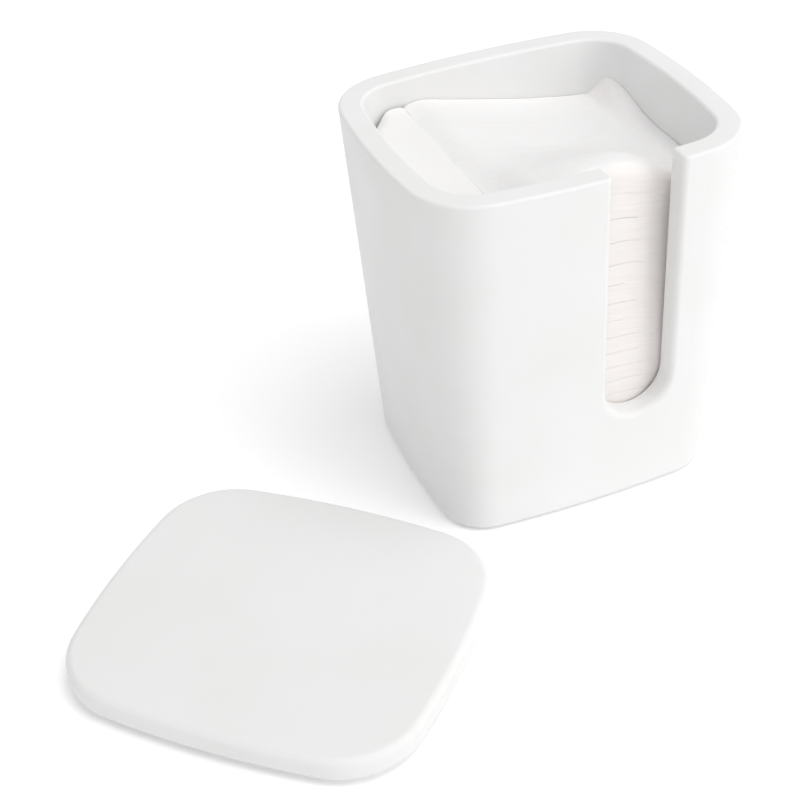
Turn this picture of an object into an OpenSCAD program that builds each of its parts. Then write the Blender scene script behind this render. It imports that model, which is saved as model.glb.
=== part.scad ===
// Lidded box for square cotton pads, standing open with its lid laid on the table beside it.
// The box is cast in one piece, with an open slot in front for drawing pads out. A flat makeup sponge
// stands on edge at the left of the stack of pads.
// X runs left to right along the slotted front, Y to the back, Z up from the table.

/* [Box] */
// Width of the box across the rim
rim_width = 86; // [76:0.5:110]
// Depth of the box across the rim
rim_depth = 76.2; // [66:0.1:100]
// Height of the cast body from its underside to the rim
body_height = 97.6; // [75:0.2:130]
// Thickness of the walls
wall = 6.1; // [4:0.1:8]
// Thickness of the floor
floor_thick = 5.4; // [3:0.1:9]
// How far each side wall leans out from base to rim
lean_side = 5.5; // [2:0.1:9]
// How far the front and back walls lean out from base to rim
lean_front = 5.9; // [2:0.1:9]
// Outside corner radius at the base
base_corner = 11.6; // [10:0.1:16]
// Outside corner radius at the rim
rim_corner = 17.1; // [13:0.1:22]
// How far the middle of each wall bows out past its ends at the base
base_bow = 2.2; // [1:0.1:4]
// How far the middle of each wall bows out past its ends at the rim
rim_bow = 3.65; // [1.5:0.05:6]
// Rounding of both edges of the rim
rim_round = 0.8; // [0.3:0.1:2]
// Rounding of the outside edge of the base
base_round = 1.3; // [0.5:0.1:3]
// Rounding where the walls meet the floor inside
floor_round = 1; // [0.4:0.1:1.4]

/* [Front slot] */
// Width of the slot between its sides
slot_width = 18.3; // [14:0.1:24]
// How far the slot lies at the rim to the right of the middle of the stack's room
slot_shift = 2.95; // [-3:0.05:5]
// Height of the lowest point of the slot above the underside of the body
slot_bottom = 25.8; // [15:0.1:40]
// How far the slot leans to the left from its lowest point to the rim
slot_lean = 2; // [0:0.1:4]
// Rounding of the outside edge of the slot
slot_round = 1.6; // [0.4:0.1:2.5]

/* [Sponge] */
// Thickness of the sponge at its foot
sponge_foot = 6.8; // [5:0.1:9]
// Free depth of the box in front of and behind the foot of the sponge, together
sponge_foot_room = 9.85; // [8.85:0.05:17]
// Free depth of the box in front of and behind the top of the sponge, together
sponge_top_room = 12; // [11.6:0.1:20]
// How far the top of the sponge lies below the front left corner of the stack
sponge_drop = 5; // [3:0.1:40]
// Corner radius of the sponge, seen from above, as a share of its thickness
sponge_corner = 0.47; // [0.3:0.01:0.48]
// How far the middle of each side of the sponge stands out past its ends
sponge_puff = 0.3; // [0.1:0.05:0.6]
// Rounding of the upper and lower edges of the sponge
sponge_round = 1.6; // [0.4:0.1:2.4]
// Free room between the foot of the sponge and the middle of the left wall
sponge_room = 2.2; // [2:0.1:4]
// Free room between the top of the sponge and the middle of the left wall
sponge_top_gap = 1.9; // [1.8:0.1:5]
// How far the top of the sponge leans towards the back wall
sponge_lean = 1.8; // [0:0.1:2]

/* [Cotton pads] */
// Corner radius of a loose pad
pad_corner = 7; // [5:0.5:12]
// How much more the edges of a pad bow out than the walls beside them
pad_puff = 0.5; // [0.2:0.1:1.5]
// How far the soft edge rolls in towards the top and bottom face of a pad
pad_roll = 1.2; // [0.6:0.1:2]
// Number of pads in the stack
pad_count = 18; // [8:1:24]
// Thickness of the loose top pad as a multiple of the pressed bottom pad
pad_loft = 1.95; // [1:0.05:3]
// Power that keeps the extra thickness near the top of the stack
loft_power = 2.2; // [1:0.1:4]
// Free gap under each pad and under the sponge
pad_gap = 0.35; // [0.2:0.05:0.8]
// Free room between the pads and the sponge, the right wall and the front wall
pad_room = 0.5; // [0.3:0.1:1]
// Free room between the pads and the back wall
back_room = 1.2; // [0.9:0.1:3]
// Height of free wall above the front of the stack
head_room = 1.8; // [1.5:0.1:15]
// How far the back left corner of the stack lies below its front
back_fall = 3.5; // [0:0.1:6]
// How much lower than that the back right corner lies
right_fall = 10; // [0:0.1:12]
// Power that brings the fall to the right near the left wall
right_power = 0.8; // [0.6:0.1:3]
// Power that brings the fall to the back near the front wall
back_power = 2.5; // [1:0.1:4]
// How far the top face of the top pad falls from its middle to its edges
top_crown = 1.6; // [0:0.1:2.5]
// How far the back right corner of the top pad curls up
corner_curl = 6.5; // [0:0.1:8]

/* [Base pad] */
// Thickness of the non-slip sheet under the base
sheet_thick = 1.4; // [1:0.1:3]
// Depth of the recess that the sheet is bonded into
sheet_recess = 0.8; // [0.4:0.1:0.9]
// Width of the bare border around the recess
sheet_border = 4; // [2:0.1:8]
// Gap around the sheet in its recess
sheet_gap = 0.3; // [0.1:0.1:0.8]

/* [Lid] */
// Thickness of the lid plate
lid_thick = 5.8; // [4:0.1:9]
// How far the lid stands out past the rim all round
lid_overhang = 2.5; // [1:0.1:5]
// Rounding of the upper edge of the plate
lid_top_round = 2; // [0.5:0.1:2.5]
// Rounding of the lower edge of the plate
lid_low_round = 0.8; // [0.3:0.1:1.2]
// Height of the locating step under the plate
step_height = 2; // [1:0.1:4]
// Gap between the locating step and the inside of the rim
step_gap = 0.8; // [0.4:0.1:1.5]
// Rounding of the lower edge of the locating step
step_round = 0.6; // [0.2:0.1:0.9]
// Turn of the lid about the vertical as it lies on the table
lid_turn = -43.7; // [-60:0.1:-30]
// Free gap between the lid and the nearest corner of the rim, seen from above
lid_gap = 3; // [2:0.1:20]
// How far the lid lies along its edge from the line through the middle of the box
lid_slide = -33.7; // [-45:0.1:0]

/* [Hidden] */
// Number of straight steps in half a side, in a corner and in an edge rounding
side_steps = 4;
corner_steps = 8;
pad_side_steps = 2;
pad_corner_steps = 4;
round_step = 30;
pad_round_step = 45;
// Shares of the pad size at which the face of the top pad has a ring of points
crown_rings = [0.78, 0.52, 0.26];
// Extra length of a cut past the surface that it cuts
cut_past = 1;

// Sizes of the body that follow from the rim
base_width = rim_width - 2 * lean_side;
base_depth = rim_depth - 2 * lean_front;
body_low = sheet_thick - sheet_recess;

// Places of the right face of the sponge, where the room for the stack begins, and of the slot
stack_left = sponge_room + sponge_foot - inner_half(base_width, rim_width, floor_thick);
slot_middle = (stack_left + rim_width / 2 - wall) / 2 + slot_shift;

// Height of the stack at its front, and the share of it that is left at the back right corner
stack_height = body_height - head_room - floor_thick;
low_share = 1 - (right_fall + back_fall) / stack_height;

// Height of the sponge, its thickness at the top, and its depth at the foot and at the top
sponge_height = stack_height - sponge_drop;
sponge_thick = stack_left + inner_half(base_width, rim_width, floor_thick + sponge_height) - sponge_top_gap;
sponge_foot_depth = 2 * inner_half(base_depth, rim_depth, floor_thick) - sponge_foot_room;
sponge_depth = 2 * inner_half(base_depth, rim_depth, floor_thick + sponge_height) - sponge_top_room;

// Share of the stack height that each pad takes
pad_shares = [for (k = [1 : pad_count]) 1 + (pad_loft - 1) * pow((k - 0.5) / pad_count, loft_power)];
share_total = total(pad_shares, pad_count);

// Direction across the lid, from its middle towards the box, and along its near edge
lid_across = [-sin(lid_turn), cos(lid_turn)];
lid_along = [cos(lid_turn), sin(lid_turn)];
rim_arc = corner_centre(rim_width, rim_depth, rim_corner, rim_bow);
rim_reach = rim_arc.x * abs(lid_across.x) + rim_arc.y * abs(lid_across.y) + rim_corner;
lid_distance = rim_reach + lid_gap + rim_depth / 2 + lid_overhang;
lid_place = lid_slide * lid_along - lid_distance * lid_across;

// Sum of the first entries of a list
function total(list, count) = count == 0 ? 0 : list[count - 1] + total(list, count - 1);

function pad_name(k) = str("cotton_pad_", k < 10 ? "0" : "", k);

// Value part of the way from low to high
function between(low, high, share) = low + (high - low) * share;

// Half of the inside of the box, at a height above the underside of the body
function inner_half(base, rim, z) = between(base, rim, z / body_height) / 2 - wall;

// Radius of an arc that rises by bow over half its chord
function arc_radius(half, bow) = (half * half + bow * bow) / (2 * bow);

// Rise over part of such an arc
function part_bow(part, half, bow) = part * part / (2 * arc_radius(half, bow));

// Centre of the corner arc that runs into both bowed sides of a rectangle
function corner_centre(w, d, r, bow) =
    let (
        side_r = arc_radius(d / 2, bow),
        end_r = arc_radius(w / 2, bow),
        cx = w / 2 - side_r,
        cy = d / 2 - end_r,
        gap = norm([cx, cy]),
        ux = -cx / gap,
        uy = cy / gap,
        near = side_r - r,
        along = (near * near - pow(end_r - r, 2) + gap * gap) / (2 * gap),
        off = sqrt(near * near - along * along)
    )
    [cx + along * ux - off * uy, along * uy + off * ux];

// Quarter of a rectangle with bowed sides and round corners, drawn in by inset
function quarter(w, d, r, bow, inset, sides, corners) =
    let (
        side_r = arc_radius(d / 2, bow),
        end_r = arc_radius(w / 2, bow),
        cx = w / 2 - side_r,
        cy = d / 2 - end_r,
        c = corner_centre(w, d, r, bow),
        from = atan2(c.y, c.x - cx),
        to = atan2(c.y - cy, c.x)
    )
    concat(
        [for (i = [0 : sides - 1]) [cx, 0] + (side_r - inset) * unit(from * i / sides)],
        [for (i = [0 : corners - 1]) c + (r - inset) * unit(between(from, to, i / corners))],
        [for (i = [0 : sides]) [0, cy] + (end_r - inset) * unit(between(to, 90, i / sides))]
    );

function unit(angle) = [cos(angle), sin(angle)];

// Whole outline, anticlockwise seen from above
function outline(w, d, r, bow, inset, sides = side_steps, corners = corner_steps) =
    let (
        q = quarter(w, d, r, bow, inset, sides, corners),
        last = len(q) - 1
    )
    concat(
        [for (i = [0 : last - 1]) q[i]],
        [for (i = [last : -1 : 1]) [-q[i].x, q[i].y]],
        [for (i = [0 : last - 1]) -q[i]],
        [for (i = [last : -1 : 1]) [q[i].x, -q[i].y]]
    );

function lift(points, z) = [for (p = points) [p.x, p.y, z]];

// Mean of a list of points
function middle(points) = [for (p = points) 1] * points / len(points);

// Outline of the cast body at a height above its underside
function body_outline(z, inset) =
    let (share = z / body_height)
    outline(
        between(base_width, rim_width, share),
        between(base_depth, rim_depth, share),
        between(base_corner, rim_corner, share),
        between(base_bow, rim_bow, share),
        inset
    );

// Height of the underside of a pad above the floor, at the front of the stack
function pad_low(k) = stack_height * total(pad_shares, k - 1) / share_total;

// Skin through a list of rings of points, closed at both ends
module loft(rings) {
    n = len(rings[0]);
    count = len(rings);
    points = concat([for (ring = rings) each ring], [middle(rings[0])], [middle(rings[count - 1])]);
    first = n * count;
    top = n * (count - 1);
    faces = concat(
        [for (j = [0 : n - 1]) [first, j, (j + 1) % n]],
        [for (a = [0 : n : top - n], j = [0 : n - 1]) [a + j, a + n + j, a + n + (j + 1) % n]],
        [for (a = [0 : n : top - n], j = [0 : n - 1]) [a + j, a + n + (j + 1) % n, a + (j + 1) % n]],
        [for (j = [0 : n - 1]) [first + 1, top + (j + 1) % n, top + j]]
    );
    polyhedron(points, faces);
}

// Front view of the edge of the slot, drawn out by extra: down its left, round its foot and up its right
function slot_edge(extra) =
    let (
        half = slot_width / 2 + extra,
        centre = slot_bottom + slot_width / 2,
        top = body_height + cut_past
    )
    concat(
        [for (i = [0 : side_steps - 1]) [-half, between(top, centre, i / side_steps)]],
        [for (i = [0 : 2 * corner_steps]) [0, centre] + half * unit(180 + 90 * i / corner_steps)],
        [for (i = [1 : side_steps]) [half, between(centre, top, i / side_steps)]]
    );

// Point of the front view, leaned with the slot and laid into the front wall at a depth
function on_front(p, depth) =
    let (
        share = p.y / body_height,
        end_r = arc_radius(between(base_width, rim_width, share) / 2, between(base_bow, rim_bow, share)),
        x = slot_middle + p.x + slot_lean * (body_height - p.y) / (body_height - slot_bottom)
    )
    [x, end_r - between(base_depth, rim_depth, share) / 2 - sqrt(pow(end_r - depth, 2) - x * x), p.y];

// Cut of the slot through the front wall, flared to the rounding of its outside edge
module slot_cut() {
    rounding = [for (a = [90 : -round_step : 0]) slot_round * [1 - cos(a), 1 - sin(a)]];
    depths = concat([[wall + cut_past, 0]], rounding, [[-cut_past, slot_round]]);
    loft([for (d = depths) [for (p = slot_edge(d.y)) on_front(p, d.x)]]);
}

// Cast body: recessed underside, leaning bowed walls, round rim and hollow inside, cut by the slot
module box_body() {
    rounding = [for (a = [0 : round_step : 90]) [1 - cos(a), 1 - sin(a)]];
    profile = concat(
        [[sheet_recess, sheet_border], [0, sheet_border]],
        [for (c = rounding) base_round * c],
        [for (c = rounding) [body_height - rim_round * c.y, rim_round * c.x]],
        [for (i = [len(rounding) - 1 : -1 : 0])
            [body_height - rim_round * rounding[i].y, wall - rim_round * rounding[i].x]],
        [for (c = rounding) [floor_thick + floor_round * c.y, wall + floor_round * c.x]]
    );
    color("white")
        translate([0, 0, body_low])
            difference() {
                loft([for (p = profile) lift(body_outline(p.x, p.y), p.x)]);
                slot_cut();
            }
}

// Non-slip sheet bonded into the underside
module base_pad() {
    color("gainsboro")
        linear_extrude(height = sheet_thick)
            polygon(body_outline(0, sheet_border + sheet_gap));
}

// Flat lid with the plan of the rim and a locating step underneath, lying on the table
module lid() {
    rounding = [for (a = [0 : round_step : 90]) [1 - cos(a), 1 - sin(a)]];
    step_inset = wall + step_gap;
    top = step_height + lid_thick;
    profile = concat(
        [for (c = rounding) [step_round * c.x, step_inset + step_round * c.y]],
        [[step_height, step_inset]],
        [for (c = rounding) [step_height + lid_low_round * c.x, lid_low_round * c.y - lid_overhang]],
        [for (c = rounding) [top - lid_top_round * c.y, lid_top_round * c.x - lid_overhang]]
    );
    color("white")
        translate(lid_place)
            rotate(lid_turn)
                loft([for (p = profile)
                    lift(outline(rim_width, rim_depth, rim_corner, rim_bow, p.y), p.x)]);
}

// Flat sponge that stands on edge on the floor, swells towards its top and leans towards the back
module makeup_sponge() {
    rounding = [for (a = [0 : round_step : 90]) [1 - cos(a), 1 - sin(a)]];
    profile = concat(
        [for (c = rounding) sponge_round * c],
        [for (c = rounding) [sponge_height - sponge_round * c.y, sponge_round * c.x]]
    );
    function ring(z, inset) =
        let (
            share = z / sponge_height,
            thick = between(sponge_foot, sponge_thick, share),
            depth = between(sponge_foot_depth, sponge_depth, share),
            corner = sponge_corner * thick,
            plan = outline(thick, depth, corner, sponge_puff, inset, pad_side_steps, pad_corner_steps)
        )
        [for (p = plan) [stack_left - thick / 2 + p.x, sponge_lean * share + p.y, z]];
    color("ivory")
        translate([0, 0, body_low + floor_thick + pad_gap])
            loft([for (p = profile) ring(p.x, p.y)]);
}

// One soft pad with rolled edges, pressed to the width and depth of the room where it lies
module cotton_pad(k) {
    low = pad_low(k);
    thick = pad_low(k + 1) - low;
    level = floor_thick + low * low_share;
    share = level / body_height;
    room_x = inner_half(base_width, rim_width, level);
    room_y = inner_half(base_depth, rim_depth, level);
    half_w = (room_x - stack_left) / 2 - pad_room;
    half_d = room_y - (back_room + pad_room) / 2;
    corner = max(pad_corner, between(base_corner, rim_corner, share) - wall);
    bow = pad_puff + part_bow(half_d, room_y, between(base_bow, rim_bow, share));
    loose = k == pad_count ? 1 : 0;
    function plan(inset, size) =
        size * outline(2 * half_w, 2 * half_d, corner, bow, inset, pad_side_steps, pad_corner_steps);
    function curl(p) = loose * corner_curl * pow(max(0, (p.x / half_w + p.y / half_d) / 2), 3);
    function slump(share) = 1 - pow(max(0, 1 - share) / 2, back_power);
    function fall(share) = back_fall + right_fall * pow(max(0, 1 + share) / 2, right_power);
    function press(p) = 1 - slump(p.y / half_d) * fall(p.x / half_w) / stack_height;
    function face_height(p, size) =
        (low + thick) * press(p) + curl(p) - loose * top_crown * pow(size, 4);
    function ring(inset, size, up) =
        [for (p = plan(inset, size))
            [p.x, p.y, between(low * press(p) + pad_gap + loose * curl(p), face_height(p, size), up)]];
    edge = [for (a = [-90 : pad_round_step : 90]) ring(pad_roll * (1 - cos(a)), 1, (1 + sin(a)) / 2)];
    face = [for (size = crown_rings) if (loose == 1) ring(pad_roll, size, 1)];
    color("snow")
        translate([room_x - pad_room - half_w, room_y - back_room - half_d, body_low + floor_thick])
            loft(concat(edge, face));
}

box_body();
base_pad();
lid();
makeup_sponge();
for (k = [1 : pad_count]) cotton_pad(k);
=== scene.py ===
"""Looks of a cotton pad box: cast box and loose lid, soft pads, a makeup sponge and a non-slip sheet.

The classes hold their sizes in millimetres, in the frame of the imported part. Meshes are in metres.
"""

import logging
import math
from dataclasses import dataclass
from enum import Enum
from typing import Callable, Sequence

import bmesh
import bpy
import numpy as np
from mathutils import Matrix, Vector, noise


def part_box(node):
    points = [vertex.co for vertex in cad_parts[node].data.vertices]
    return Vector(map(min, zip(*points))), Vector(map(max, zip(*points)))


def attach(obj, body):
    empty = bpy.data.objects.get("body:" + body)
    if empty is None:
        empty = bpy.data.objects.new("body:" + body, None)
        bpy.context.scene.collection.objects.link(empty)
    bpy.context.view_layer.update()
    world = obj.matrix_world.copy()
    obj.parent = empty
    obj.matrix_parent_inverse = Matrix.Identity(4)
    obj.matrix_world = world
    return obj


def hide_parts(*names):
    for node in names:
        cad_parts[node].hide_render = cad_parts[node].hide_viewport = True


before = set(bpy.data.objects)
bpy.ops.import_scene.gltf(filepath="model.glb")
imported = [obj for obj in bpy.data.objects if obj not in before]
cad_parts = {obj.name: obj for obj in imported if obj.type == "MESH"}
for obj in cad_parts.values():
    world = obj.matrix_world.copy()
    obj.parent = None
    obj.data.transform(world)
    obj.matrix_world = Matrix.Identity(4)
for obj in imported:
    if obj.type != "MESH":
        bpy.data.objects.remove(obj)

Colour = tuple[float, float, float, float]
Pair = tuple[float, float]
Triple = tuple[float, float, float]

# Metres in a millimetre
MM = 0.001
# Distance within which two places count as one, in millimetres
NEAR = 0.01
# Margin for telling the edges of the slot and the rim apart, in millimetres
MARGIN = 0.1
# Values of a noise between which its core lies, and between which nearly all of it lies
NOISE_CORE: Pair = (0.35, 0.65)
NOISE_SPREAD: Pair = (0.3, 0.7)
WHITE: Colour = (1.0, 1.0, 1.0, 1.0)
# Spans of a mask that rises, and of one that falls
RISING: Pair = (0.0, 1.0)
FALLING: Pair = (1.0, 0.0)
# Point attribute with the place of each point along its ring
STATION = "station"
log = logging.getLogger("pad_box")


class RecordSlot(Enum):
    """Material slots of the record."""

    CAST_RESIN = "cast_resin"
    FOAM_SHEET = "foam_sheet"
    SPONGE = "sponge"
    COTTON = "cotton"


class Body(Enum):
    """Bodies that pieces ride on, apart from the pads' own."""

    BOX = "box"
    LID = "lid"
    SPONGE = "sponge"


def between(low: float, high: float, share: float) -> float:
    """Return the value that lies a share of the way from low to high."""
    return low + (high - low) * share


def smooth_step(start: float, stop: float, value: float) -> float:
    """Return 0 before start and 1 after stop, with a smooth rise between them.

    Args:
        start: Value where the rise starts.
        stop: Value where it ends, which may lie below start.
        value: Value to look up.

    Returns:
        Height of the rise, from 0 to 1.
    """
    share = min(max((value - start) / (stop - start), 0.0), 1.0)
    return share * share * (3.0 - 2.0 * share)


def arc_radius(half: float, bow: float) -> float:
    """Return the radius of an arc that rises by bow over half its chord."""
    return (half * half + bow * bow) / (2.0 * bow)


@dataclass(frozen=True)
class Stations:
    """Number of straight steps along each part of an outline.

    Attributes:
        front: Steps along the front side.
        side: Steps along the left and the right side.
        back: Steps along the back side.
        corner: Steps round each corner.
        columns: Fixed places across the front, where a cut needs them.
    """

    front: int
    side: int
    back: int
    corner: int
    columns: tuple[float, ...] = ()


@dataclass(frozen=True)
class BowedPlan:
    """Rectangle with bowed sides and round corners, seen from above.

    Attributes:
        width: Size across the middles of the left and right side.
        depth: Size across the middles of the front and back side.
        corner: Corner radius.
        bow: How far the middle of each side stands out past its ends.
    """

    width: float
    depth: float
    corner: float
    bow: float

    @property
    def side_radius(self) -> float:
        """Radius of the left and right side."""
        return arc_radius(self.depth / 2, self.bow)

    @property
    def end_radius(self) -> float:
        """Radius of the front and back side."""
        return arc_radius(self.width / 2, self.bow)

    def front_y(self, x: float, inset: float) -> float:
        """Return the place of the front side at x, drawn in by inset."""
        radius = self.end_radius - inset
        return self.end_radius - self.depth / 2 - math.sqrt(radius * radius - x * x)

    def corner_centre(self) -> tuple[float, float]:
        """Find the centre of the corner arc that runs into both bowed sides.

        Returns:
            Place of the centre in the right back quarter.
        """
        cx = self.width / 2 - self.side_radius
        cy = self.depth / 2 - self.end_radius
        gap = math.hypot(cx, cy)
        ux, uy = -cx / gap, cy / gap
        near = self.side_radius - self.corner
        far = self.end_radius - self.corner
        along = (near * near - far * far + gap * gap) / (2 * gap)
        off = math.sqrt(near * near - along * along)
        return cx + along * ux - off * uy, along * uy + off * ux

    def ring(self, inset: float, stations: Stations) -> np.ndarray:
        """Return the outline drawn in by inset, anticlockwise from the left end of the front side.

        Args:
            inset: Distance that the outline is drawn in by.
            stations: Steps along each part.

        Returns:
            Points of the outline, one row each.
        """
        cx = self.width / 2 - self.side_radius
        cy = self.depth / 2 - self.end_radius
        kx, ky = self.corner_centre()
        low = math.atan2(ky, kx - cx)
        high = math.atan2(ky - cy, kx)
        side_r, end_r = self.side_radius - inset, self.end_radius - inset
        corner_r = self.corner - inset

        def arc(x: float, y: float, radius: float, angles: np.ndarray) -> np.ndarray:
            """Return points on a circle."""
            return np.column_stack([x + radius * np.cos(angles), y + radius * np.sin(angles)])

        def corner(x: float, y: float, start: float, stop: float) -> np.ndarray:
            """Return the points inside a corner arc, without its ends."""
            return arc(x, y, corner_r, np.linspace(start, stop, stations.corner + 1)[1:-1])

        if stations.columns:
            middle = [-math.acos(x / end_r) for x in stations.columns]
            front = np.array([high - math.pi, *middle, -high])
        else:
            front = np.linspace(high - math.pi, -high, stations.front + 1)
        return np.vstack([
            arc(0, -cy, end_r, front),
            corner(kx, -ky, -high, -low),
            arc(cx, 0, side_r, np.linspace(-low, low, stations.side + 1)),
            corner(kx, ky, low, high),
            arc(0, cy, end_r, np.linspace(high, math.pi - high, stations.back + 1)),
            corner(-kx, ky, math.pi - high, math.pi - low),
            arc(-cx, 0, side_r, np.linspace(math.pi - low, math.pi + low, stations.side + 1)),
            corner(-kx, -ky, math.pi + low, math.pi + high),
        ])


# Outlines of the box: at the rim, which the lid covers, and at the underside, which holds the sheet
RIM_PLAN = BowedPlan(width=86.0, depth=76.2, corner=17.1, bow=3.65)
BASE_PLAN = BowedPlan(width=75.0, depth=64.4, corner=11.6, bow=2.2)


def at_height(ring: np.ndarray, z: float) -> np.ndarray:
    """Return the points of a flat ring at a height."""
    return np.column_stack([ring, np.full(len(ring), z)])


def quarter_round(radius: float, steps: int) -> list[tuple[float, float]]:
    """Return (rise, inset) of a rounding, from its flat end to its upright end.

    Args:
        radius: Radius of the rounding.
        steps: Straight steps in it.

    Returns:
        Pairs of rise above the flat and inset from the upright face.
    """
    angles = np.linspace(0, math.pi / 2, steps + 1)
    return [(radius * (1 - math.cos(a)), radius * (1 - math.sin(a))) for a in angles]


def select_only(piece: bpy.types.Object) -> None:
    """Select one piece and make it the active one, in object mode.

    Args:
        piece: Piece to select.
    """
    if bpy.context.object and bpy.context.object.mode != "OBJECT":
        bpy.ops.object.mode_set(mode="OBJECT")
    bpy.ops.object.select_all(action="DESELECT")
    piece.select_set(True)
    bpy.context.view_layer.objects.active = piece


def place_selected(piece: bpy.types.Object, ring: np.ndarray) -> None:
    """Move the selected points of a piece in edit mode to their stations on a ring.

    Args:
        piece: Piece in edit mode.
        ring: Place of each station, in millimetres.
    """
    mesh = bmesh.from_edit_mesh(piece.data)
    station = mesh.verts.layers.int[STATION]
    for vert in mesh.verts:
        if vert.select:
            vert.co = ring[vert[station]] * MM
    bmesh.update_edit_mesh(piece.data)


def select_edges(piece: bpy.types.Object, wanted: Callable[[bmesh.types.BMEdge], bool]) -> int:
    """Select the edges of a piece in edit mode that pass a test.

    Args:
        piece: Piece in edit mode.
        wanted: Test of one edge.

    Returns:
        Number of edges selected.
    """
    bpy.ops.mesh.select_mode(type="EDGE")
    bpy.ops.mesh.select_all(action="DESELECT")
    mesh = bmesh.from_edit_mesh(piece.data)
    found = [edge for edge in mesh.edges if wanted(edge)]
    for edge in found:
        edge.select_set(True)
    mesh.select_flush_mode()
    bmesh.update_edit_mesh(piece.data)
    return len(found)


def select_rim_of_hole() -> None:
    """Select the open edges of the mesh in edit mode."""
    bpy.ops.mesh.select_mode(type="EDGE")
    bpy.ops.mesh.select_all(action="DESELECT")
    bpy.ops.mesh.select_non_manifold(
        use_wire=False, use_boundary=True, use_multi_face=False, use_non_contiguous=False, use_verts=False
    )


def loft(name: str, rings: Sequence[np.ndarray]) -> bpy.types.Object:
    """Extrude a circle ring by ring along a list of outlines, and close both ends.

    Args:
        name: Name of the piece.
        rings: Outlines with the same number of points each, in millimetres.

    Returns:
        The closed piece, in edit mode.
    """
    bpy.ops.object.select_all(action="DESELECT")
    bpy.ops.mesh.primitive_circle_add(vertices=len(rings[0]), radius=1.0)
    piece = bpy.context.object
    piece.name = piece.data.name = name
    station = piece.data.attributes.new(STATION, "INT", "POINT")
    station.data.foreach_set("value", np.arange(len(rings[0]), dtype=np.int32))
    bpy.ops.object.mode_set(mode="EDIT")
    bpy.ops.mesh.select_mode(type="EDGE")
    bpy.ops.mesh.select_all(action="SELECT")
    place_selected(piece, rings[0])
    for ring in rings[1:]:
        bpy.ops.mesh.extrude_region_move()
        place_selected(piece, ring)
    for _ in range(2):
        select_rim_of_hole()
        mesh = bmesh.from_edit_mesh(piece.data)
        first = next(edge for edge in mesh.edges if edge.select)
        keep_loop(mesh, first)
        bmesh.update_edit_mesh(piece.data)
        bpy.ops.mesh.edge_face_add()
        bpy.ops.mesh.poke()
    bpy.ops.mesh.select_all(action="SELECT")
    bpy.ops.mesh.normals_make_consistent(inside=False)
    return piece


def keep_loop(mesh: bmesh.types.BMesh, first: bmesh.types.BMEdge) -> None:
    """Keep only the selected edges that hang together with one of them.

    Args:
        mesh: Mesh in edit mode.
        first: Edge to start from.
    """
    found, open_ends = {first}, list(first.verts)
    while open_ends:
        vert = open_ends.pop()
        for edge in vert.link_edges:
            if edge.select and edge not in found:
                found.add(edge)
                open_ends.append(edge.other_vert(vert))
    for edge in [edge for edge in mesh.edges if edge.select]:
        edge.select_set(edge in found)
    for edge in found:
        edge.select_set(True)


def finish_mesh(piece: bpy.types.Object, crease: float) -> None:
    """Shade a piece smooth up to a crease angle and even its shading over large faces.

    Args:
        piece: Piece whose mesh is done.
        crease: Angle in degrees above which an edge stays sharp.
    """
    select_only(piece)
    stations = piece.data.attributes.get(STATION)
    if stations:
        piece.data.attributes.remove(stations)
    bpy.ops.object.shade_smooth_by_angle(angle=math.radians(crease))
    even = piece.modifiers.new("even_shading", "WEIGHTED_NORMAL")
    even.keep_sharp = True
    bpy.ops.object.modifier_apply(modifier=even.name)


def register(
    piece: bpy.types.Object, body: str, slot: RecordSlot, node: str, finish: bpy.types.Material
) -> None:
    """Dress a piece, let it ride on its body and stand for its solid.

    Args:
        piece: Finished piece.
        body: Body that it moves with.
        slot: Material slot of the record. Not used.
        node: Solid that it replaces.
        finish: Material of the piece.
    """
    piece.data.materials.clear()
    piece.data.materials.append(finish)
    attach(piece, body)
    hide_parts(node)
    log.info("%s rides on %s: %d faces", piece.name, body, len(piece.data.polygons))


class Arithmetic(Enum):
    """Ways to work out one value from two."""

    ADD = "ADD"
    MULTIPLY = "MULTIPLY"
    MAXIMUM = "MAXIMUM"


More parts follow.
